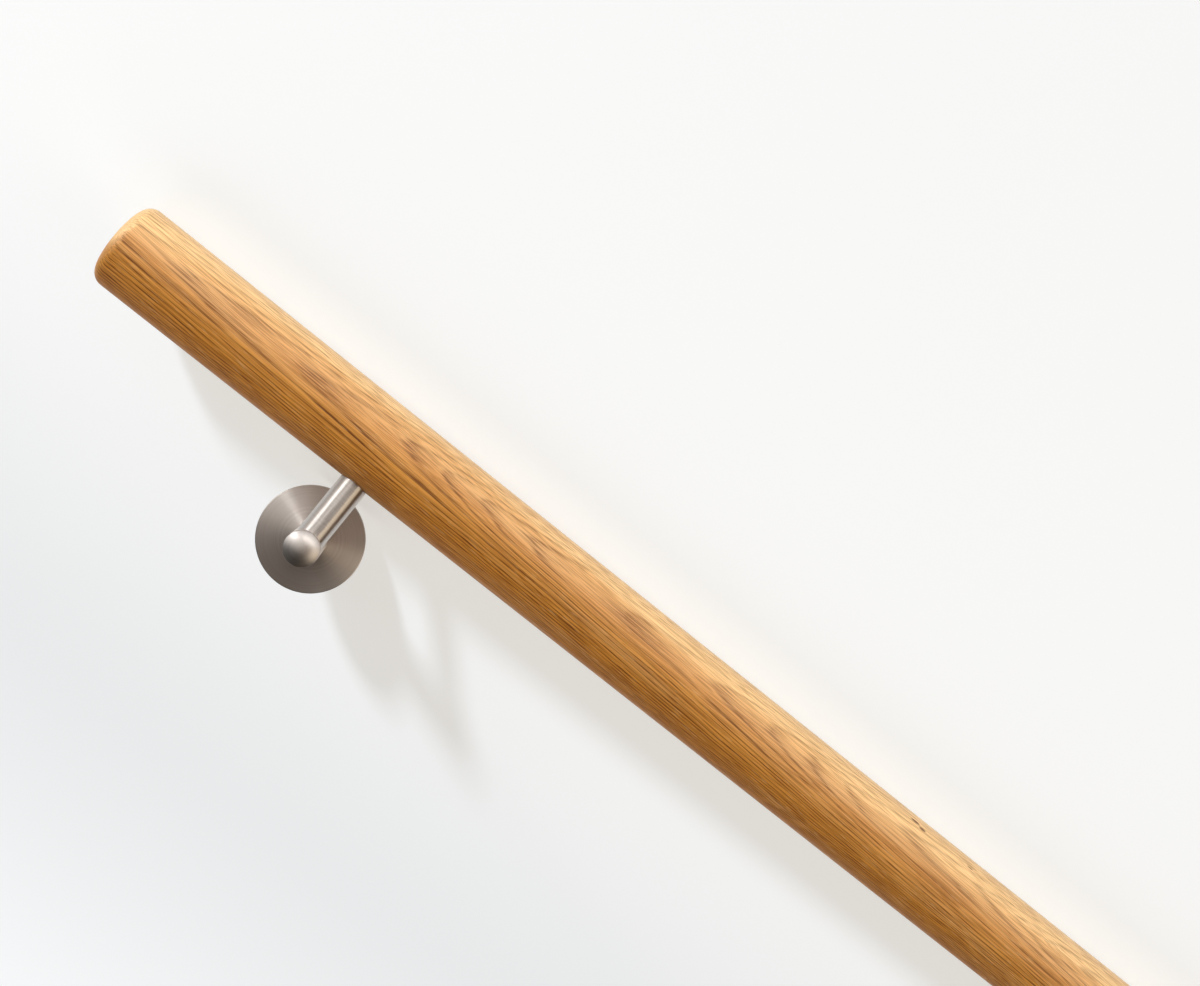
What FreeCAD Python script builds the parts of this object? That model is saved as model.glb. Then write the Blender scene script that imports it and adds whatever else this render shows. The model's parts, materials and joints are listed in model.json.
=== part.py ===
import FreeCAD, Part
import math
import os

# A round oak wall handrail on two turned stainless steel brackets, lying on a level floor.
# Every piece is first drawn as it hangs on the wall: X runs along the rail and down the stair,
# Y runs up the wall at a right angle to the rail, and Z stands out of the wall, which is Z = 0.
# The finished rail is then turned as it comes to rest on the floor, on its back and its plates' rims.
# All sizes are in millimetres.

# Oak rail
rail_diameter = 45.0
rail_length = 1000.0
rail_end_round = 6.0  # radius worked on the edge of each sawn end
hand_clearance = 50.0  # free space for the fingers between the wall and the rail

# Brackets
bracket_inset = 158.0  # from the end of the rail to the middle of the bracket
arm_to_rail = 62.0  # from the axis of the arm up to the axis of the rail
plate_diameter = 58.0
plate_thickness = 4.0
plate_rim_chamfer = 0.5
arm_diameter = 18.0
arm_past_stem = 1.0  # straight length of arm in front of the stem
dome_height = 3.0  # rise of the arm's rounded front end
stem_diameter = 15.0
stem_seat_depth = 8.0  # how far the foot of the stem is let into the arm

# Fixings
wall_bore_diameter = 8.5  # tapping hole for an M10 hanger bolt in the wall
wall_bore_depth = 30.0
wall_bore_chamfer = 0.8
drill_point_angle = 118.0  # full angle of the cone that the drill leaves at the end of the bore
screw_diameter = 8.0
screw_in_rail = 26.0  # from the rail's surface to the tip of the screw
screw_in_stem = 18.0  # from the rail's surface to the foot of the screw
screw_tip_length = 8.0

# Worked out from the sizes above
rail_radius = rail_diameter / 2
plate_radius = plate_diameter / 2
arm_radius = arm_diameter / 2
stem_radius = stem_diameter / 2
screw_radius = screw_diameter / 2
wall_bore_radius = wall_bore_diameter / 2
rail_off_wall = hand_clearance + rail_radius
rail_underside = arm_to_rail - rail_radius
arm_straight = rail_off_wall + stem_radius + arm_past_stem
stem_foot = arm_radius - stem_seat_depth
bracket_offset = rail_length / 2 - bracket_inset

ALONG_RAIL = FreeCAD.Vector(1, 0, 0)
UP_WALL = FreeCAD.Vector(0, 1, 0)
OUT_OF_WALL = FreeCAD.Vector(0, 0, 1)
ORIGIN = FreeCAD.Vector(0, 0, 0)


def turned(outline, axis):
    """A lathe-turned solid: the closed outline spun once round an axis through the origin."""
    return Part.Face(Part.Wire(outline)).revolve(ORIGIN, axis, 360)


def lines(*points):
    """Straight edges from each point to the next."""
    vectors = [FreeCAD.Vector(*point) for point in points]
    return [Part.LineSegment(a, b).toShape() for a, b in zip(vectors, vectors[1:])]


def rail_bar():
    """The plain round bar, before its ends are eased and its underside is drilled."""
    end = FreeCAD.Vector(-rail_length / 2, arm_to_rail, rail_off_wall)
    return Part.makeCylinder(rail_radius, rail_length, end, ALONG_RAIL)


def handrail(screws):
    """The oak bar with rounded end edges and a pilot hole round each screw."""
    bar = rail_bar()
    end_edges = [edge for edge in bar.Edges if edge.isClosed()]
    rail = bar.makeFillet(rail_end_round, end_edges)
    for screw in screws:
        rail = rail.cut(screw)
    return rail


def wall_plate():
    """The turned disc against the wall, bored for the arm, its front rim chamfered."""
    disc = Part.makeCylinder(plate_radius, plate_thickness, ORIGIN, OUT_OF_WALL)
    rims = [edge for edge in disc.Edges if edge.isClosed()]
    front_rim = max(rims, key=lambda edge: edge.CenterOfMass.z)
    disc = disc.makeChamfer(plate_rim_chamfer, [front_rim])
    return disc.cut(Part.makeCylinder(arm_radius, plate_thickness, ORIGIN, OUT_OF_WALL))


def bracket_arm():
    """The turned bar out of the wall: domed in front, tapped behind and drilled for the stem."""
    front = FreeCAD.Vector(0, 0, arm_straight + dome_height)
    shoulder = FreeCAD.Vector(arm_radius, 0, arm_straight)
    dome_radius = (arm_radius ** 2 + dome_height ** 2) / (2 * dome_height)
    dome_centre = arm_straight + dome_height - dome_radius
    half_sweep = math.atan2(arm_radius, dome_radius - dome_height) / 2
    dome_middle = FreeCAD.Vector(
        dome_radius * math.sin(half_sweep), 0, dome_centre + dome_radius * math.cos(half_sweep)
    )
    outline = lines((0, 0, arm_straight + dome_height), (0, 0, 0), (arm_radius, 0, 0), tuple(shoulder))
    outline.append(Part.Arc(shoulder, dome_middle, front).toShape())
    arm = turned(outline, OUT_OF_WALL)

    mouth_radius = wall_bore_radius + wall_bore_chamfer
    drill_point = wall_bore_radius / math.tan(math.radians(drill_point_angle / 2))
    bore = turned(
        lines(
            (0, 0, 0),
            (mouth_radius, 0, 0),
            (wall_bore_radius, 0, wall_bore_chamfer),
            (wall_bore_radius, 0, wall_bore_depth),
            (0, 0, wall_bore_depth + drill_point),
            (0, 0, 0),
        ),
        OUT_OF_WALL,
    )
    seat_start = FreeCAD.Vector(0, stem_foot, rail_off_wall)
    seat = Part.makeCylinder(stem_radius, arm_diameter, seat_start, UP_WALL)
    return arm.cut(bore).cut(seat)


def rail_stem(screw):
    """The round post from the arm up to the rail, its head coped to the rail's round."""
    foot = FreeCAD.Vector(0, stem_foot, rail_off_wall)
    post = Part.makeCylinder(stem_radius, arm_to_rail - stem_foot, foot, UP_WALL)
    return post.cut(rail_bar()).cut(screw)


def rail_screw():
    """The double-ended screw that draws the rail down on to the stem."""
    low = rail_underside - screw_in_stem
    high = rail_underside + screw_in_rail
    outline = lines(
        (0, low, 0),
        (screw_radius, low, 0),
        (screw_radius, high - screw_tip_length, 0),
        (0, high, 0),
        (0, low, 0),
    )
    screw = turned(outline, UP_WALL)
    screw.translate(FreeCAD.Vector(0, 0, rail_off_wall))
    return screw


def resting_turn():
    """Turns the hanging rail as it lies: its back and the plates' upper rims both touch the floor."""
    across = arm_to_rail - plate_radius
    to_axis = math.hypot(across, rail_off_wall)
    lean = math.atan2(rail_off_wall, across) - math.asin(rail_radius / to_axis)
    tip = FreeCAD.Rotation(ALONG_RAIL, -math.degrees(lean))
    face_front = FreeCAD.Rotation(OUT_OF_WALL, 180)
    return face_front.multiply(tip)


def build_pieces():
    """Every piece in its hanging place, by name."""
    screw = rail_screw()
    bracket = {
        "wall_plate": wall_plate(),
        "bracket_arm": bracket_arm(),
        "rail_stem": rail_stem(screw),
        "rail_screw": screw,
    }
    pieces = {}
    for end, side in (("upper", -1), ("lower", 1)):
        for name, shape in bracket.items():
            placed = shape.copy()
            placed.translate(ALONG_RAIL * (side * bracket_offset))
            pieces[f"{end}_{name}"] = placed
    pieces["oak_handrail"] = handrail([pieces["upper_rail_screw"], pieces["lower_rail_screw"]])
    return pieces


def lay_on_floor(pieces):
    """Turns all the pieces together and puts the middle of their base at the origin."""
    turn = FreeCAD.Placement(ORIGIN, resting_turn())
    turned_pieces = {name: shape.transformed(turn.toMatrix(), True) for name, shape in pieces.items()}
    box = Part.makeCompound(list(turned_pieces.values())).optimalBoundingBox(False, False)
    shift = FreeCAD.Matrix()
    shift.move(FreeCAD.Vector(-box.Center.x, -box.Center.y, -box.ZMin))
    return {name: shape.transformed(shift, True) for name, shape in turned_pieces.items()}


os.makedirs("parts", exist_ok=True)
for name, shape in lay_on_floor(build_pieces()).items():
    solid = shape.Solids[0]
    print(f"{name}: {len(shape.Solids)} solid, valid {solid.isValid()}, {solid.Volume / 1000:.3f} cm3")
    shape.exportStep(f"parts/{name}.step")
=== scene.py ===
import bpy
import json
import math
from mathutils import Matrix, Vector


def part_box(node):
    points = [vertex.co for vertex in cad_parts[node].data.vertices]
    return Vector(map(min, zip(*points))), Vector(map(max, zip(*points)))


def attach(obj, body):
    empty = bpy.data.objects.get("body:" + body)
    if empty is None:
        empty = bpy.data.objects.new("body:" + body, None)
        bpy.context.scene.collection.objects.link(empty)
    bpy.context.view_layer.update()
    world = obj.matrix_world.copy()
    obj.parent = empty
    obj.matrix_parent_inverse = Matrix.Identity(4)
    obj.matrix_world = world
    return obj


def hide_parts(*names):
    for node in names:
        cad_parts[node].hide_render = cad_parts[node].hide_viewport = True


mm = 0.001  # sizes are written in millimetres, the frame is in metres

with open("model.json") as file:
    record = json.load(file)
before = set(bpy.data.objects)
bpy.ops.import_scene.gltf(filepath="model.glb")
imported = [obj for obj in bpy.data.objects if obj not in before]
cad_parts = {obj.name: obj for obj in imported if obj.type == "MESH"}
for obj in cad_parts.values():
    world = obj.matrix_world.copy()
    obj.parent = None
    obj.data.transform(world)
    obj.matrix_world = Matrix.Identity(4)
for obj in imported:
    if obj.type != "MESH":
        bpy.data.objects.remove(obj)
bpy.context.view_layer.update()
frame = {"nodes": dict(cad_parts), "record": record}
mounts = {mount["name"]: mount for mount in frame["record"]["mounts"]}
print("frame:", len(frame["nodes"]), "nodes")

# the axes of the rail as it hangs in use, turned as they lie on the floor
outOfWall = -Vector(mounts["upper_wall_bore"]["axis"])
downRail = Vector((-1, 0, 0))
upWall = outOfWall.cross(downRail)
lean = math.atan2(-outOfWall.y, outOfWall.z)  # turn about X from upright to leaning as it lies

railLow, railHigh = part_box("oak_handrail")
railCentre = (railLow + railHigh) / 2
railLength = railHigh.x - railLow.x
railRadius = (railHigh.z - railLow.z) / 2


# colours and nodes

def hexToLinear(code):
    parts = [int(code[i:i + 2], 16) / 255 for i in (1, 3, 5)]
    return tuple(c / 12.92 if c <= 0.04045 else ((c + 0.055) / 1.055) ** 2.4 for c in parts) + (1.0,)


def addNode(tree, kind, inputs=None, stops=None, **settings):
    # an input is a plain value, a socket, or a node whose first output in use is linked
    node = tree.nodes.new(kind)
    for name, value in settings.items():
        setattr(node, name, value)
    for socket, value in (inputs or {}).items():
        if isinstance(value, bpy.types.Node):
            value = next(output for output in value.outputs if output.enabled)
        if isinstance(value, bpy.types.NodeSocket):
            tree.links.new(value, node.inputs[socket])
        else:
            node.inputs[socket].default_value = value
    if stops:  # a ramp's places and colours
        elements = node.color_ramp.elements
        while len(elements) < len(stops):
            elements.new(1.0)
        for element, (place, colour) in zip(elements, stops):
            element.position = place
            element.color = colour
    return node


def newMaterial(name):
    material = bpy.data.materials.new(name)
    material.use_nodes = True
    material.node_tree.nodes.clear()
    return material, material.node_tree


def alongGrain(length, width):
    return (1 / length, 1 / width, 1 / width)


# oiled oak: sawn, turned round, sanded and oiled, so the pores stay open as fine dark dashes along the
# rail, the growth rings draw flames where the saw ran along them, and the sheen is a broad soft satin

# painted light and shade in the oak's colour: the tone ramp is paler towards the top and darker towards
# the bottom, beside the real heart and sap
oak = {
    "tones": [  # from the dark inner wood at the bottom to the pale outer wood at the top, millimetres from the rail's middle; partly the wood's own heart and sap, partly painted light above and painted shade below
        (-8.0, "#C18231"), (4.0, "#CF9142"), (11.0, "#D39753"),
        (17.0, "#DEA96D"), (20.0, "#ECBA7D"), (22.5, "#FCD297"),
    ],
    "pale": "#EBC28A", "paleShare": 0.2, "paleLevels": (0.5, 0.8),  # light streaks, and rays
    "spring": "#7C5127",  # what the porous start of each ring leaves of the colour
    "pore": "#BC9C7C",  # what an open pore leaves of the colour
    "knot": "#7E4A22",
    "ringWidth": 1.35, "ringSlowing": 2.4,  # rings thin out towards the bark
    "unevenRate": 0.37, "unevenYears": 0.7,  # good and poor years
    "seasons": [  # share of spring wood through a year
        (0.0, 0.5), (0.1, 1.0), (0.34, 0.25), (0.56, 0.0), (0.92, 0.0), (1.0, 0.5),
    ],
    "lineLeast": 0.45, "lineLevels": (0.62, 0.38),  # the fibres break the ring lines up
    "faintLeast": 0.35, "faintFrom": 0.3,  # lines and pores fade towards the pale top, where the ramp holds the pale outer wood and painted light
    "pithDepth": 74.0,  # from the middle of the rail to the heart of the tree
    "pithTurn": 31.0,  # degrees from the front of the rail up towards its top
    "slopeAcross": 2.1, "slopeIn": 1.8,  # degrees that the grain runs out of the rail's line
    "sapAndLightTurn": 75.0,  # degrees from the front up to the palest wood and the brightest painted light, near the top
    "toneShift": 6.0,  # how far the streaks move the tones
    "toneWave": {"length": 640.0, "darkest": 290.0, "shift": 2.5},  # paler and darker stretches
    "endLightShift": 13.0, "endLightPlain": 0.75,  # painted light: the rounded ends are painted paler and plainer, as where light falls on them
    "endReach": 7.0, "endEdge": 1.0,  # from the end, where that starts and where it is full
    "swayLength": 230.0, "swayWidth": 30.0, "sway": 6.0,
    "streakLength": 130.0, "streakWidth": 7.0,
    "fibreLength": 34.0, "fibreWidth": 0.42,  # bundles, since single fibres are too fine to show
    "fibreLevels": (0.36, 0.6),
    "fibreTint": {"Red": (0.8, 1.17), "Green": (0.74, 1.2), "Blue": (0.68, 1.23)},
    "poreLength": 15.0, "poreWidth": 0.75,  # room that one pore has, which is wider than the pore
    "poreReach": (0.16, 0.38), "poreEdge": 0.15,  # share of its room, in late wood and in spring wood
    "rayLength": 9.0, "rayWidth": 0.5, "rayRun": 22.0, "rayShare": 0.3, "rayLevels": (0.6, 0.74),
    "poreDepth": 0.12, "fibreRelief": 0.4, "relief": 0.3,
    "roughness": 0.5, "poreRoughness": 0.2,
    "gloss": 0.4,
    "nap": 0.12, "napRoughness": 0.35,  # fine fibres that sanding leaves standing, seen along the edges
    "flecks": [  # pin knot: along from the rail's middle, degrees up from its front, length, width
        (-14.0, 59.8, 6.0, 2.0),
        (-9.2, 55.0, 4.8, 1.8),
        (23.4, 53.9, 4.2, 0.8),
    ],
    "fleckShare": 0.95, "fleckEdge": (1.15, 0.6),
}


def makeOak():
    o = oak
    material, tree = newMaterial("oiledOak")
    inRail = addNode(tree, "ShaderNodeMapping", {
        "Vector": addNode(tree, "ShaderNodeTexCoord").outputs["Object"],
        "Location": railCentre,
        "Rotation": (lean + math.radians(o["pithTurn"]), 0, 0),
        "Scale": (mm, mm, mm),
    }, vector_type="TEXTURE")  # millimetres from the rail's middle, Z from heart to bark

    # the tree's slow sway bends the rings into flames
    sway = addNode(tree, "ShaderNodeTexNoise", {
        "Vector": addNode(tree, "ShaderNodeMapping", {
            "Vector": inRail, "Scale": alongGrain(o["swayLength"], o["swayWidth"]),
        }),
        "Scale": 1.0, "Detail": 4.0, "Roughness": 0.4,
    })
    centred = addNode(tree, "ShaderNodeVectorMath", {
        0: sway.outputs["Color"], 1: (0.5, 0.5, 0.5),
    }, operation="SUBTRACT")
    swayed = addNode(tree, "ShaderNodeVectorMath", {
        0: centred, 1: (0, o["sway"], o["sway"]), 2: inRail,
    }, operation="MULTIPLY_ADD")
    fromPith = addNode(tree, "ShaderNodeMapping", {
        "Vector": swayed,
        "Location": (0, 0, o["pithDepth"]),
        "Rotation": (0, math.radians(o["slopeIn"]), math.radians(o["slopeAcross"])),
    })
    spot = addNode(tree, "ShaderNodeSeparateXYZ", {"Vector": fromPith})
    radius = addNode(tree, "ShaderNodeVectorMath", {
        0: addNode(tree, "ShaderNodeCombineXYZ", {"Y": spot.outputs["Y"], "Z": spot.outputs["Z"]}),
    }, operation="LENGTH")

    # growth rings of uneven width, spring wood at the start of each
    growth = addNode(tree, "ShaderNodeMath", {
        0: addNode(tree, "ShaderNodeMath", {0: radius, 1: o["pithDepth"]}, operation="DIVIDE"),
        1: o["ringSlowing"],
    }, operation="POWER")
    years = addNode(tree, "ShaderNodeMath", {
        0: growth, 1: o["pithDepth"] / (o["ringSlowing"] * o["ringWidth"]),
    }, operation="MULTIPLY")
    uneven = addNode(tree, "ShaderNodeTexNoise", {
        "W": years, "Scale": o["unevenRate"], "Detail": 0.0,
    }, noise_dimensions="1D")
    season = addNode(tree, "ShaderNodeMath", {
        0: addNode(tree, "ShaderNodeMath", {
            0: uneven, 1: o["unevenYears"], 2: years,
        }, operation="MULTIPLY_ADD"),
    }, operation="FRACT")
    spring = addNode(tree, "ShaderNodeValToRGB", {"Fac": season}, stops=[
        (part, (share, share, share, 1)) for part, share in o["seasons"]
    ])

    # light and dark streaks, long fibres, and open pores that crowd in the spring wood
    streak = addNode(tree, "ShaderNodeTexNoise", {
        "Vector": addNode(tree, "ShaderNodeMapping", {
            "Vector": fromPith, "Scale": alongGrain(o["streakLength"], o["streakWidth"]),
        }),
        "Scale": 1.0, "Detail": 1.0,
    })
    fibre = addNode(tree, "ShaderNodeTexNoise", {
        "Vector": addNode(tree, "ShaderNodeMapping", {
            "Vector": fromPith, "Scale": alongGrain(o["fibreLength"], o["fibreWidth"]),
        }),
        "Scale": 1.0, "Detail": 0.0,
    })
    poreCells = addNode(tree, "ShaderNodeTexVoronoi", {
        "Vector": addNode(tree, "ShaderNodeMapping", {
            "Vector": fromPith, "Scale": alongGrain(o["poreLength"], o["poreWidth"]),
        }),
        "Scale": 1.0,
    })
    poreReach = addNode(tree, "ShaderNodeMapRange", {
        "Value": spring, "To Min": o["poreReach"][0], "To Max": o["poreReach"][1],
    })
    pores = addNode(tree, "ShaderNodeMapRange", {
        "Value": poreCells,
        "From Min": poreReach,
        "From Max": addNode(tree, "ShaderNodeMath", {
            0: poreReach, 1: o["poreEdge"],
        }, operation="SUBTRACT"),
    }, interpolation_type="SMOOTHSTEP")

    # rays run out from the heart: flecks on the quarter faces, spokes on the end grain
    angle = addNode(tree, "ShaderNodeMath", {
        0: spot.outputs["Y"], 1: spot.outputs["Z"],
    }, operation="ARCTAN2")
    rayField = addNode(tree, "ShaderNodeTexNoise", {
        "Vector": addNode(tree, "ShaderNodeCombineXYZ", {
            "X": addNode(tree, "ShaderNodeMath", {
                0: spot.outputs["X"], 1: o["rayLength"],
            }, operation="DIVIDE"),
            "Y": addNode(tree, "ShaderNodeMath", {
                0: angle, 1: o["pithDepth"] / o["rayWidth"],
            }, operation="MULTIPLY"),
            "Z": addNode(tree, "ShaderNodeMath", {0: radius, 1: o["rayRun"]}, operation="DIVIDE"),
        }),
        "Scale": 1.0, "Detail": 1.0,
    })
    rays = addNode(tree, "ShaderNodeMapRange", {
        "Value": rayField, "From Min": o["rayLevels"][0], "From Max": o["rayLevels"][1],
        "To Max": o["rayShare"],
    }, interpolation_type="SMOOTHSTEP")

    # pin knot: dark flecks set in the surface
    fleckMask = 0.0
    for along, turn, length, width in o["flecks"]:
        up = math.radians(turn - o["pithTurn"])
        place = (-along, -math.sin(up) * railRadius / mm, math.cos(up) * railRadius / mm)
        reach = addNode(tree, "ShaderNodeVectorMath", {
            0: addNode(tree, "ShaderNodeMapping", {
                "Vector": inRail, "Location": place, "Scale": (length / 2, width / 2, width / 2),
            }, vector_type="TEXTURE"),
        }, operation="LENGTH")
        fleck = addNode(tree, "ShaderNodeMapRange", {
            "Value": reach, "From Min": o["fleckEdge"][0], "From Max": o["fleckEdge"][1],
            "To Max": o["fleckShare"],
        }, interpolation_type="SMOOTHSTEP")
        fleckMask = addNode(tree, "ShaderNodeMath", {0: fleck, 1: fleckMask}, operation="MAXIMUM")

    # colours, from the broadest change to the finest; the broadest is the ramp across the rail, part
    # heart and sap, part painted light at the top and painted shade at the bottom
    fromPithLine = math.radians(o["sapAndLightTurn"] - o["pithTurn"])
    # across the rail towards the top: pale outer wood with painted light there, painted shade towards
    # the bottom
    towardsSapAndLight = addNode(tree, "ShaderNodeVectorMath", {
        0: swayed, 1: (0, -math.sin(fromPithLine), math.cos(fromPithLine)),
    }, operation="DOT_PRODUCT")
    along = addNode(tree, "ShaderNodeSeparateXYZ", {"Vector": inRail}).outputs["X"]
    wave = addNode(tree, "ShaderNodeMath", {
        0: addNode(tree, "ShaderNodeMapRange", {
            "Value": along, "From Min": o["toneWave"]["darkest"],
            "From Max": o["toneWave"]["darkest"] + o["toneWave"]["length"], "To Max": 2 * math.pi,
        }, clamp=False),
    }, operation="COSINE")
    # painted light on the rounded ends: paler, with the grain drawn fainter
    ends = addNode(tree, "ShaderNodeMapRange", {
        "Value": addNode(tree, "ShaderNodeMath", {0: along}, operation="ABSOLUTE"),
        "From Min": railLength / mm / 2 - o["endReach"], "From Max": railLength / mm / 2 - o["endEdge"],
    }, interpolation_type="SMOOTHSTEP")
    drawn = addNode(tree, "ShaderNodeMapRange", {  # how far the grain is drawn, fainter on the ends with their painted light
        "Value": ends, "To Min": 1.0, "To Max": 1 - o["endLightPlain"],
    })
    shifted = towardsSapAndLight
    for part, strength, rest in (
        (streak, o["toneShift"], -o["toneShift"] / 2),
        (wave, -o["toneWave"]["shift"], o["toneWave"]["shift"]),
        (ends, o["endLightShift"], 0.0),
    ):
        change = addNode(tree, "ShaderNodeMath", {
            0: part, 1: strength, 2: rest,
        }, operation="MULTIPLY_ADD")
        shifted = addNode(tree, "ShaderNodeMath", {0: shifted, 1: change}, operation="ADD")
    inner, outer = o["tones"][0][0], o["tones"][-1][0]
    sapAndLightShare = addNode(tree, "ShaderNodeMapRange", {
        "Value": shifted, "From Min": inner, "From Max": outer,
    })
    colour = addNode(tree, "ShaderNodeValToRGB", {"Fac": sapAndLightShare}, stops=[
        ((depth - inner) / (outer - inner), hexToLinear(tone)) for depth, tone in o["tones"]
    ])
    colour = addNode(tree, "ShaderNodeMix", {
        0: addNode(tree, "ShaderNodeMapRange", {
            "Value": streak, "From Min": o["paleLevels"][0], "From Max": o["paleLevels"][1],
            "To Max": o["paleShare"],
        }, interpolation_type="SMOOTHSTEP"),
        6: colour, 7: hexToLinear(o["pale"]),
    }, data_type="RGBA")
    broken = addNode(tree, "ShaderNodeMapRange", {
        "Value": fibre, "From Min": o["lineLevels"][0], "From Max": o["lineLevels"][1],
        "To Min": o["lineLeast"],
    })
    faint = addNode(tree, "ShaderNodeMath", {
        0: addNode(tree, "ShaderNodeMapRange", {
            "Value": sapAndLightShare, "From Min": o["faintFrom"], "To Min": 1.0, "To Max": o["faintLeast"],
        }),
        1: drawn,
    }, operation="MULTIPLY")
    lines = addNode(tree, "ShaderNodeMath", {
        0: addNode(tree, "ShaderNodeMath", {0: spring, 1: broken}, operation="MULTIPLY"), 1: faint,
    }, operation="MULTIPLY")
    colour = addNode(tree, "ShaderNodeMix", {
        0: lines, 6: colour, 7: hexToLinear(o["spring"]),
    }, data_type="RGBA", blend_type="MULTIPLY")
    colour = addNode(tree, "ShaderNodeMix", {
        0: drawn, 6: colour,
        7: addNode(tree, "ShaderNodeCombineColor", {
            channel: addNode(tree, "ShaderNodeMapRange", {
                "Value": fibre, "From Min": o["fibreLevels"][0], "From Max": o["fibreLevels"][1],
                "To Min": low, "To Max": high,
            })
            for channel, (low, high) in o["fibreTint"].items()
        }),
    }, data_type="RGBA", blend_type="MULTIPLY")
    colour = addNode(tree, "ShaderNodeMix", {
        0: rays, 6: colour, 7: hexToLinear(o["pale"]),
    }, data_type="RGBA")
    colour = addNode(tree, "ShaderNodeMix", {
        0: addNode(tree, "ShaderNodeMath", {0: pores, 1: faint}, operation="MULTIPLY"),
        6: colour, 7: hexToLinear(o["pore"]),
    }, data_type="RGBA", blend_type="MULTIPLY")
    colour = addNode(tree, "ShaderNodeMix", {
        0: fleckMask, 6: colour, 7: hexToLinear(o["knot"]),
    }, data_type="RGBA")

    relief = addNode(tree, "ShaderNodeMath", {
        0: addNode(tree, "ShaderNodeMath", {0: fibre, 1: o["fibreRelief"]}, operation="MULTIPLY"),
        1: pores,
    }, operation="SUBTRACT")
    shader = addNode(tree, "ShaderNodeBsdfPrincipled", {
        "Base Color": colour,
        "Roughness": addNode(tree, "ShaderNodeMapRange", {
            "Value": pores, "To Min": o["roughness"], "To Max": o["roughness"] + o["poreRoughness"],
        }),
        "IOR": 1.5,
        "Specular IOR Level": o["gloss"],
        "Sheen Weight": o["nap"], "Sheen Roughness": o["napRoughness"],
        "Normal": addNode(tree, "ShaderNodeBump", {
            "Height": relief, "Strength": o["relief"], "Distance": o["poreDepth"] * mm,
        }),
    })
    addNode(tree, "ShaderNodeOutputMaterial", {"Surface": shader})
    return material


# satin stainless steel: turned on a lathe and left with fine rings round each axis, so a lamp draws a
# narrow bright streak across the rings and the rest mirrors the room as a soft warm grey

steel = {
    "ringPitch": 1.1,  # real marks are about 0.1 apart, drawn coarser to show
    "ringDepth": 0.01, "ringRelief": 0.15, "ringRoughness": 0.03, "ringLevels": (0.3, 0.7),
    "acrossRings": 0.25,  # quarter turn, so that highlights stretch across the rings
    "turned": {"bright": "#D4CFCB", "dull": "#C0BAB5", "roughness": 0.36, "stretch": 0.95},
    # the arm's front
    "ground": {"bright": "#C0BBB8", "dull": "#AEA9A5", "roughness": 0.41, "stretch": 0.0},
}


def makeSteel(finish):
    material, tree = newMaterial(f"{finish}Stainless")
    roughness = steel[finish]["roughness"]
    wrap = addNode(tree, "ShaderNodeUVMap", uv_map="turning")
    profile = addNode(tree, "ShaderNodeSeparateXYZ", {"Vector": wrap}).outputs["Y"]  # in millimetres
    rings = addNode(tree, "ShaderNodeTexNoise", {
        "W": profile, "Scale": 1 / steel["ringPitch"], "Detail": 3.0,
    }, noise_dimensions="1D")
    shader = addNode(tree, "ShaderNodeBsdfPrincipled", {
        "Base Color": addNode(tree, "ShaderNodeMix", {
            0: rings, 6: hexToLinear(steel[finish]["dull"]), 7: hexToLinear(steel[finish]["bright"]),
        }, data_type="RGBA"),
        "Metallic": 1.0,
        "Roughness": addNode(tree, "ShaderNodeMapRange", {
            "Value": rings, "From Min": steel["ringLevels"][0], "From Max": steel["ringLevels"][1],
            "To Min": roughness - steel["ringRoughness"], "To Max": roughness + steel["ringRoughness"],
        }),
        "Anisotropic": steel[finish]["stretch"],
        "Anisotropic Rotation": steel["acrossRings"],
        "Normal": addNode(tree, "ShaderNodeBump", {
            "Height": rings, "Strength": steel["ringRelief"], "Distance": steel["ringDepth"] * mm,
        }),
        "Tangent": addNode(tree, "ShaderNodeTangent", direction_type="UV_MAP", uv_map="turning"),
    })
    addNode(tree, "ShaderNodeOutputMaterial", {"Surface": shader})
    return material


# zinc plated steel: hidden rail screws, bright and a little milky

screwFinish = {"colour": "#A9ABAD", "stain": "#86898C", "cloudSize": 3.0, "roughness": 0.35}


def makeZinc():
    material, tree = newMaterial("zincPlatedSteel")
    cloud = addNode(tree, "ShaderNodeTexNoise", {
        "Vector": addNode(tree, "ShaderNodeTexCoord").outputs["Object"],
        "Scale": 1 / (screwFinish["cloudSize"] * mm), "Detail": 2.0,
    })
    shader = addNode(tree, "ShaderNodeBsdfPrincipled", {
        "Base Color": addNode(tree, "ShaderNodeMix", {
            0: cloud, 6: hexToLinear(screwFinish["stain"]), 7: hexToLinear(screwFinish["colour"]),
        }, data_type="RGBA"),
        "Metallic": 1.0, "Roughness": screwFinish["roughness"],
    })
    addNode(tree, "ShaderNodeOutputMaterial", {"Surface": shader})
    return material


# modelling

def editMode(piece):
    bpy.context.view_layer.objects.active = piece
    bpy.ops.object.mode_set(mode="EDIT")


def objectMode():
    bpy.ops.object.mode_set(mode="OBJECT")


def pickFaces(piece, wanted):
    editMode(piece)
    bpy.ops.mesh.select_mode(type="FACE")
    bpy.ops.mesh.select_all(action="DESELECT")
    objectMode()
    for face in piece.data.polygons:
        face.select = wanted(face)
    editMode(piece)


def pickEdges(piece, wanted):
    editMode(piece)
    bpy.ops.mesh.select_mode(type="EDGE")
    bpy.ops.mesh.select_all(action="DESELECT")
    objectMode()
    points = [vertex.co.copy() for vertex in piece.data.vertices]
    for edge in piece.data.edges:
        edge.select = wanted(*(points[i] for i in edge.vertices))
    editMode(piece)


def combine(piece, other, operation):
    join = piece.modifiers.new("combine", "BOOLEAN")
    join.operation = operation
    join.solver = "EXACT"
    join.object = other
    bpy.context.view_layer.objects.active = piece
    bpy.ops.object.modifier_apply(modifier=join.name)
    bpy.data.objects.remove(other)


def dress(piece, material, slot, *nodes):
    piece.data.materials.clear()
    piece.data.materials.append(material)
    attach(piece, "root")
    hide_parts(*nodes)


# the oak rail

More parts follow.
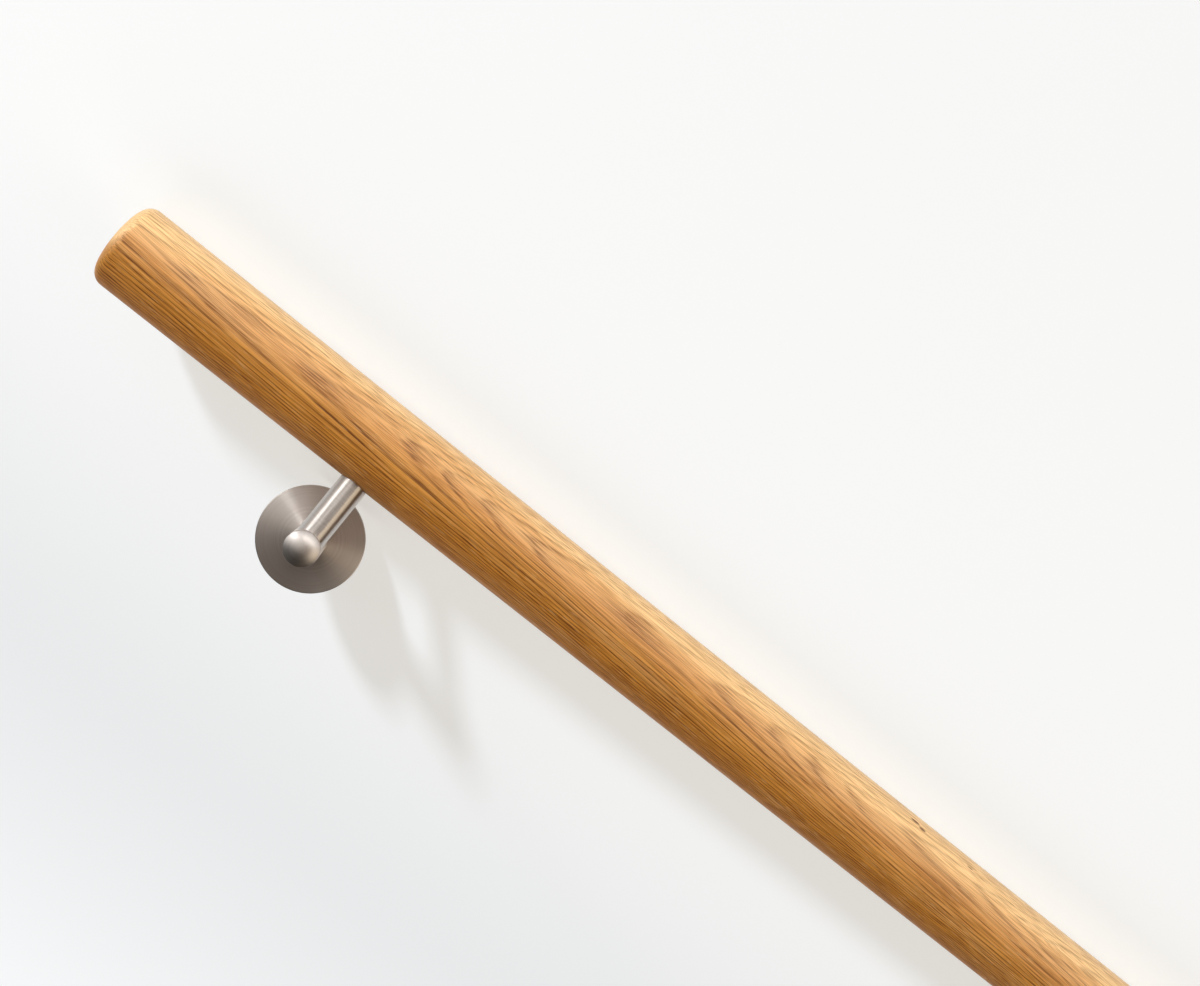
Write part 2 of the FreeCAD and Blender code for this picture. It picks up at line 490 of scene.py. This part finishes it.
rail = {"sides": 192, "endRound": 6.0, "roundSteps": 9, "cuts": 49, "endRings": 3, "smooth": 30.0}


def makeRail():
    bpy.ops.object.select_all(action="DESELECT")
    bpy.ops.mesh.primitive_cylinder_add(
        vertices=rail["sides"], radius=railRadius, depth=railLength,
        location=railCentre, rotation=(0, math.pi / 2, 0),
    )
    piece = bpy.context.active_object
    piece.name = "handrail"
    bpy.ops.object.transform_apply(location=True, rotation=True, scale=True)
    pickEdges(piece, lambda a, b: abs(a.x - b.x) < mm)  # both end rims
    bpy.ops.mesh.bevel(
        offset=rail["endRound"] * mm, segments=rail["roundSteps"], affect="EDGES", profile=0.5,
    )
    pickEdges(piece, lambda a, b: abs(a.x - b.x) > railLength / 2)  # the long edges
    bpy.ops.mesh.subdivide(number_cuts=rail["cuts"])
    pickFaces(piece, lambda face: abs(face.normal.x) > 0.999)  # both sawn ends
    for ring in range(rail["endRings"]):
        bpy.ops.mesh.inset(thickness=(railRadius - rail["endRound"] * mm) / (rail["endRings"] + 1))
    bpy.ops.mesh.poke()
    objectMode()
    bpy.ops.object.shade_smooth_by_angle(angle=math.radians(rail["smooth"]))
    return piece


# turned steel pieces, drawn on a vertical axis as on a lathe and then put in place

bracket = {
    "sides": 128,
    "armToRail": 62.0,  # arm's axis up to the rail's axis
    "railOffWall": 72.5,  # back of the plate to the rail's axis
    "plateRadius": 29.0, "plateThickness": 4.0, "rimEase": 0.5, "easeSteps": 4,
    "armRadius": 9.0, "armStraight": 81.0, "domeHeight": 3.0, "domeSteps": 16, "domeEase": 0.5,
    "boreMouth": 5.05, "boreDepth": 30.0, "boreChamfer": 0.8, "drillPoint": 118.0,
    "threadRoot": 5.0, "threadCrest": 4.25, "threadPitch": 1.5, "threadTurns": 18, "threadSteps": 40,
    "ridgeShare": 0.8,  # size of the thread's ridge against its height
    "stemRadius": 7.5, "stemFoot": 1.0, "stemEase": 0.35, "seatSlack": 0.2,
    "stemCollar": 3.0, "copeReach": 1.0,  # below the stem's head: last plain ring, start of the cope
    "screwRadius": 4.0, "screwInStem": 18.0,
    "plateSmooth": 40.0, "armSmooth": 25.0, "stemSmooth": 35.0,  # sharper edges stay sharp, degrees
    "pole": 0.004,  # radius of a ring that closes to a point, below the merging distance
    "merge": 0.02,
    "flatNormal": 0.7,  # a face that looks along the axis more than this is wrapped by its radius
}


def turnOnLathe(name, rings):
    # rings are (radius, height) in millimetres, in the order that the outline meets them
    bpy.ops.object.select_all(action="DESELECT")
    startRadius, startHeight = rings[0]
    bpy.ops.mesh.primitive_circle_add(
        vertices=bracket["sides"], radius=startRadius * mm, location=(0, 0, startHeight * mm),
    )
    piece = bpy.context.active_object
    piece.name = name
    bpy.ops.object.transform_apply(location=True)
    editMode(piece)
    bpy.ops.mesh.select_all(action="SELECT")
    for (fromRadius, fromHeight), (toRadius, toHeight) in zip(rings, rings[1:]):
        bpy.ops.mesh.extrude_edges_move(
            TRANSFORM_OT_translate={"value": (0, 0, (toHeight - fromHeight) * mm)}
        )
        share = toRadius / fromRadius
        bpy.ops.transform.resize(value=(share, share, 1), center_override=(0, 0, toHeight * mm))
    bpy.ops.mesh.select_all(action="SELECT")
    bpy.ops.mesh.remove_doubles(threshold=bracket["merge"] * mm)
    bpy.ops.mesh.normals_make_consistent(inside=False)
    objectMode()
    return piece


def wrapTurning(piece):
    # U goes once round the axis and V runs in millimetres along the profile, for the lathe marks
    layer = piece.data.uv_layers.get("turning") or piece.data.uv_layers.new(name="turning")
    for face in piece.data.polygons:
        flat = abs(face.normal.z) > bracket["flatNormal"]
        middle = math.atan2(face.center.y, face.center.x)
        for loop in face.loop_indices:
            point = piece.data.vertices[piece.data.loops[loop].vertex_index].co
            reach = math.hypot(point.x, point.y)
            angle = math.atan2(point.y, point.x) if reach > bracket["merge"] * mm else middle
            if angle - middle > math.pi:
                angle -= 2 * math.pi
            elif middle - angle > math.pi:
                angle += 2 * math.pi
            layer.data[loop].uv = (angle / (2 * math.pi), (reach if flat else point.z) / mm)


def putInPlace(piece, place, angle):
    bpy.ops.object.select_all(action="DESELECT")
    piece.matrix_world = place
    bpy.context.view_layer.objects.active = piece
    piece.select_set(True)
    bpy.ops.object.transform_apply(location=True, rotation=True, scale=True)
    bpy.ops.object.shade_smooth_by_angle(angle=math.radians(angle))


def arc(across, height, radius, start, end, steps):
    # (radius, height) rings along an arc, angles in degrees from the lathe's axis
    angles = [math.radians(start + (end - start) * i / steps) for i in range(steps + 1)]
    return [
        (max(across + radius * math.sin(a), bracket["pole"]), height + radius * math.cos(a))
        for a in angles
    ]


def frameMatrix(xAxis, yAxis, zAxis, origin):
    turned = Matrix((xAxis, yAxis, zAxis)).transposed().to_4x4()
    return Matrix.Translation(origin) @ turned


def makePlate(end, place):
    b = bracket
    ease = b["rimEase"]
    rim = arc(b["plateRadius"] - ease, b["plateThickness"] - ease, ease, 90, 0, b["easeSteps"])
    rings = [
        (b["armRadius"], 0), (b["plateRadius"], 0), *rim,
        (b["armRadius"], b["plateThickness"]), (b["armRadius"], 0),
    ]
    piece = turnOnLathe(f"{end}WallPlate", rings)
    wrapTurning(piece)
    putInPlace(piece, place, b["plateSmooth"])
    return piece


def makeThread():
    # a three-sided ridge that winds up the bore
    b = bracket
    size = (b["threadRoot"] - b["threadCrest"]) * b["ridgeShare"]
    bpy.ops.object.select_all(action="DESELECT")
    bpy.ops.mesh.primitive_circle_add(
        vertices=3, radius=size * mm, rotation=(math.pi / 2, -math.pi / 2, 0),
        location=((b["threadCrest"] + size) * mm, 0, (b["boreChamfer"] + size) * mm),
    )
    ridge = bpy.context.active_object
    bpy.ops.object.transform_apply(location=True, rotation=True)
    wind = ridge.modifiers.new("wind", "SCREW")
    wind.axis = "Z"
    wind.screw_offset = b["threadPitch"] * mm
    wind.iterations = b["threadTurns"]
    wind.steps = b["threadSteps"]
    wind.render_steps = b["threadSteps"]
    bpy.ops.object.modifier_apply(modifier=wind.name)
    editMode(ridge)
    bpy.ops.mesh.select_all(action="SELECT")
    bpy.ops.mesh.fill_holes(sides=3)
    bpy.ops.mesh.normals_make_consistent(inside=False)
    objectMode()
    return ridge


def makeArm(end, place):
    b = bracket
    domeRadius = (b["armRadius"] ** 2 + b["domeHeight"] ** 2) / (2 * b["domeHeight"])
    domeMiddle = b["armStraight"] + b["domeHeight"] - domeRadius
    easeAcross = b["armRadius"] - b["domeEase"]
    easeUp = math.sqrt((domeRadius - b["domeEase"]) ** 2 - easeAcross ** 2)
    edge = math.degrees(math.atan2(easeAcross, easeUp))
    tip = b["threadRoot"] / math.tan(math.radians(b["drillPoint"] / 2))
    rings = [
        *arc(0, domeMiddle, domeRadius, 0, edge, b["domeSteps"]),
        *arc(easeAcross, domeMiddle + easeUp, b["domeEase"], edge, 90, b["easeSteps"])[1:],
        (b["armRadius"], 0), (b["boreMouth"] + b["boreChamfer"] / 2, 0),
        (b["threadRoot"], b["boreChamfer"] / 2), (b["threadRoot"], b["boreDepth"]),
        (b["pole"], b["boreDepth"] + tip),
    ]
    piece = turnOnLathe(f"{end}BracketArm", rings)
    combine(piece, makeThread(), "UNION")
    bpy.ops.object.select_all(action="DESELECT")
    seatHeight = 2 * b["armRadius"]
    bpy.ops.mesh.primitive_cylinder_add(  # cross hole that the stem's foot is let into
        vertices=b["sides"], radius=(b["stemRadius"] + b["seatSlack"]) * mm, depth=seatHeight * mm,
        location=(0, (b["stemFoot"] + seatHeight / 2) * mm, b["railOffWall"] * mm),
        rotation=(math.pi / 2, 0, 0),
    )
    combine(piece, bpy.context.active_object, "DIFFERENCE")
    wrapTurning(piece)
    putInPlace(piece, place, b["armSmooth"])
    return piece


def makeStem(end, place):
    b = bracket
    top = b["armToRail"] - railRadius / mm
    low = top - b["screwInStem"]
    ease = b["stemEase"]
    rings = [
        (b["pole"], b["stemFoot"]), (b["stemRadius"], b["stemFoot"]),
        (b["stemRadius"], top - b["stemCollar"]), (b["stemRadius"], top - ease),
        (b["stemRadius"] - ease, top), (b["screwRadius"], top),
        (b["screwRadius"], low), (b["pole"], low),
    ]
    piece = turnOnLathe(f"{end}RailStem", rings)
    for vertex in piece.data.vertices:  # cope the head to the rail's round
        if vertex.co.z > (top - b["copeReach"]) * mm:
            vertex.co.z += railRadius - math.sqrt(railRadius ** 2 - vertex.co.y ** 2)
    wrapTurning(piece)
    putInPlace(piece, place, b["stemSmooth"])
    return piece


oakMaterial = makeOak()
steelMaterial = makeSteel("turned")
domeMaterial = makeSteel("ground")
zincMaterial = makeZinc()
print("materials: oak, stainless, zinc")

dress(makeRail(), oakMaterial, "oiled_oak", "oak_handrail")
print("rail made")

for end in ("upper", "lower"):
    plateBack = Vector(mounts[f"{end}_wall_bore"]["pos_m"]) - outOfWall * bracket["boreChamfer"] * mm
    stemLine = plateBack + outOfWall * bracket["railOffWall"] * mm
    onWall = frameMatrix(downRail, upWall, outOfWall, plateBack)
    onArm = frameMatrix(downRail, -outOfWall, upWall, stemLine)
    dress(makePlate(end, onWall), steelMaterial, "satin_stainless", f"{end}_wall_plate")
    arm = makeArm(end, onWall)
    dress(arm, steelMaterial, "satin_stainless", f"{end}_bracket_arm")
    arm.data.materials.append(domeMaterial)
    armTop = plateBack.dot(outOfWall) + bracket["armStraight"] * mm
    for face in arm.data.polygons:  # the dome has its own finish
        face.material_index = int(face.center.dot(outOfWall) > armTop)
    dress(makeStem(end, onArm), steelMaterial, "satin_stainless", f"{end}_rail_stem")
    screwNode = frame["nodes"][f"{end}_rail_screw"]
    screwNode.data.materials.clear()
    screwNode.data.materials.append(zincMaterial)
    print(end, "bracket made")


# stage: pale floor, a room that is bright on one side, soft lamps, and the photograph's camera

stage = {
    "floorColour": "#A8B3C0",
    "floorGlow": "#FCF6EC",  # what the camera sees of the floor without light
    "floorGlowFade": {"strong": 0.585, "weak": 0.39, "from": -0.1, "to": 0.42},  # painted shade: the glow is weaker towards the back
    "floorSize": 12.0,
    "backdrop": "#F2F2F1",
    "roomStrength": 2.1,
    "roomBelow": 0.06,  # share of the room's light that is left from below the rail
    "roomFade": (-0.5, 0.08),  # how far below the rail's level it fades
    "room": [  # degrees round the stem from straight in front, down the rail positive
        (-180, "#7C7A77"), (-135, "#F2F0ED"), (-70, "#EFEBE7"), (-45, "#D3CEC9"), (-15, "#CAC5C0"),
        (-4, "#8F857E"), (4, "#73675F"), (22, "#6E6259"), (34, "#716459"), (41, "#F4E4CE"),
        (65, "#EFDBBE"), (73, "#5F4E3B"), (98, "#5A4B3C"), (112, "#7A736B"), (180, "#7C7A77"),
    ],
}


def makeFloor():
    bpy.ops.object.select_all(action="DESELECT")
    bpy.ops.mesh.primitive_plane_add(size=stage["floorSize"], location=(0, 0, 0))
    floor = bpy.context.active_object
    floor.name = "floor"
    material, tree = newMaterial("paleFloor")
    ray = addNode(tree, "ShaderNodeLightPath")
    seen = addNode(tree, "ShaderNodeMath", {
        0: ray.outputs["Is Camera Ray"], 1: ray.outputs["Is Glossy Ray"],
    }, operation="MAXIMUM")
    onFloor = addNode(tree, "ShaderNodeSeparateXYZ", {
        "Vector": addNode(tree, "ShaderNodeTexCoord").outputs["Object"],
    })
    # painted shade: the floor's glow fades towards the back
    fadingGlow = addNode(tree, "ShaderNodeMapRange", {
        "Value": onFloor.outputs["Y"],
        "From Min": stage["floorGlowFade"]["from"], "From Max": stage["floorGlowFade"]["to"],
        "To Min": stage["floorGlowFade"]["strong"], "To Max": stage["floorGlowFade"]["weak"],
    }, interpolation_type="SMOOTHSTEP")
    glow = addNode(tree, "ShaderNodeEmission", {
        "Color": hexToLinear(stage["floorGlow"]),
        "Strength": addNode(tree, "ShaderNodeMath", {0: seen, 1: fadingGlow}, operation="MULTIPLY"),
    })
    paint = addNode(tree, "ShaderNodeBsdfDiffuse", {"Color": hexToLinear(stage["floorColour"])})
    addNode(tree, "ShaderNodeOutputMaterial", {
        "Surface": addNode(tree, "ShaderNodeAddShader", {0: paint, 1: glow}),
    })
    floor.data.materials.append(material)


def makeWorld():
    world = bpy.data.worlds.new("room")
    bpy.context.scene.world = world
    world.use_nodes = True
    tree = world.node_tree
    tree.nodes.clear()
    look = addNode(tree, "ShaderNodeTexCoord").outputs["Generated"]
    side, height, front = (
        addNode(tree, "ShaderNodeVectorMath", {0: look, 1: axis}, operation="DOT_PRODUCT")
        for axis in (downRail, upWall, outOfWall)
    )
    turn = addNode(tree, "ShaderNodeMath", {0: side, 1: front}, operation="ARCTAN2")
    bands = addNode(tree, "ShaderNodeValToRGB", {
        "Fac": addNode(tree, "ShaderNodeMapRange", {
            "Value": turn, "From Min": -math.pi, "From Max": math.pi,
        }),
    }, stops=[((degrees + 180) / 360, hexToLinear(colour)) for degrees, colour in stage["room"]])
    share = addNode(tree, "ShaderNodeMapRange", {
        "Value": height, "From Min": stage["roomFade"][0], "From Max": stage["roomFade"][1],
        "To Min": stage["roomBelow"] * stage["roomStrength"], "To Max": stage["roomStrength"],
    }, interpolation_type="SMOOTHSTEP")
    room = addNode(tree, "ShaderNodeBackground", {"Color": bands, "Strength": share})
    paper = addNode(tree, "ShaderNodeBackground", {"Color": hexToLinear(stage["backdrop"])})
    addNode(tree, "ShaderNodeOutputWorld", {
        "Surface": addNode(tree, "ShaderNodeMixShader", {
            0: addNode(tree, "ShaderNodeLightPath").outputs["Is Camera Ray"], 1: room, 2: paper,
        }),
    })


lamps = {  # metres from the upper bracket: down the rail, square up from it, out to the front
    "stripLamp": {
        "at": (-0.94, 0.31, 0.67), "along": (-0.53, 0.18, -0.83), "wide": 0.5, "high": 0.1,
        "watts": 3.2, "colour": "#FFFFFF", "mirrored": True,
    },
    "lowSoftBox": {
        "at": (0.1, 0.95, 1.25), "along": (1, 0, 0), "wide": 1.6, "high": 0.3,
        "watts": 8.5, "colour": "#FFFBF5", "mirrored": True,
    },
    "backSoftBox": {
        "at": (0.0, -1.4, -0.35), "along": (1, 0, 0), "wide": 2.4, "high": 1.2,
        "watts": 16.0, "colour": "#FFF2E4", "mirrored": False,
    },
}


def addLamp(name, lamp):
    inRail = [Vector(lamp[key]) for key in ("at", "along")]
    offset, along = (downRail * v.x + upWall * v.y + outOfWall * v.z for v in inRail)
    back = offset.normalized()
    along = (along - back * along.dot(back)).normalized()
    data = bpy.data.lights.new(name, "AREA")
    data.shape = "RECTANGLE"
    data.size = lamp["wide"]
    data.size_y = lamp["high"]
    data.energy = lamp["watts"]
    data.color = hexToLinear(lamp["colour"])[:3]
    item = bpy.data.objects.new(name, data)
    bpy.context.scene.collection.objects.link(item)
    item.matrix_world = frameMatrix(
        along, back.cross(along), back, Vector(mounts["upper_wall_bore"]["pos_m"]) + offset,
    )
    item.visible_camera = False
    item.visible_glossy = lamp["mirrored"]


# even light on the floor alone, where the rail shades it
floorSun = {
    "from": (-0.64, 0.22, 0.74),  # in the same directions as the lamps
    "strength": 3.6,
    "spread": 6.1,  # degrees, which soften the shadow's edge
}


def addFloorSun():
    towards = Vector(floorSun["from"])
    back = (downRail * towards.x + upWall * towards.y + outOfWall * towards.z).normalized()
    across = back.orthogonal().normalized()
    data = bpy.data.lights.new("floorSun", "SUN")
    data.energy = floorSun["strength"]
    data.angle = math.radians(floorSun["spread"])
    item = bpy.data.objects.new("floorSun", data)
    bpy.context.scene.collection.objects.link(item)
    item.matrix_world = frameMatrix(across, back.cross(across), back, Vector((0, 0, 1)))
    litBySun = bpy.data.collections.new("litBySun")
    litBySun.objects.link(bpy.data.objects["floor"])
    item.light_linking.receiver_collection = litBySun


camera = {
    "along": 5.9, "up": 65.0, "out": 814.7,  # lens, from the middle of the upper plate
    "aimAlong": 97.7, "aimUp": 111.7, "aimOut": 72.5,
    "stairSlope": 38.74,  # the picture's level line against the rail
    "lens": 45.01, "sensor": 36.0, "clipStart": 0.01,
}


def makeCamera():
    c = camera
    origin = Vector(mounts["upper_wall_bore"]["pos_m"]) - outOfWall * bracket["boreChamfer"] * mm
    eye = origin + (downRail * c["along"] + upWall * c["up"] + outOfWall * c["out"]) * mm
    aim = origin + (downRail * c["aimAlong"] + upWall * c["aimUp"] + outOfWall * c["aimOut"]) * mm
    look = (aim - eye).normalized()
    slope = math.radians(c["stairSlope"])
    plumb = upWall * math.cos(slope) - downRail * math.sin(slope)
    right = look.cross(plumb).normalized()
    data = bpy.data.cameras.new("photoCamera")
    data.lens = c["lens"]
    data.sensor_width = c["sensor"]
    data.clip_start = c["clipStart"]
    item = bpy.data.objects.new("photoCamera", data)
    bpy.context.scene.collection.objects.link(item)
    item.matrix_world = frameMatrix(right, right.cross(look), -look, eye)
    bpy.context.scene.camera = item


makeFloor()
makeWorld()
for name, lamp in lamps.items():
    addLamp(name, lamp)
addFloorSun()
makeCamera()
bpy.context.scene.view_settings.view_transform = "Standard"
print("stage made")
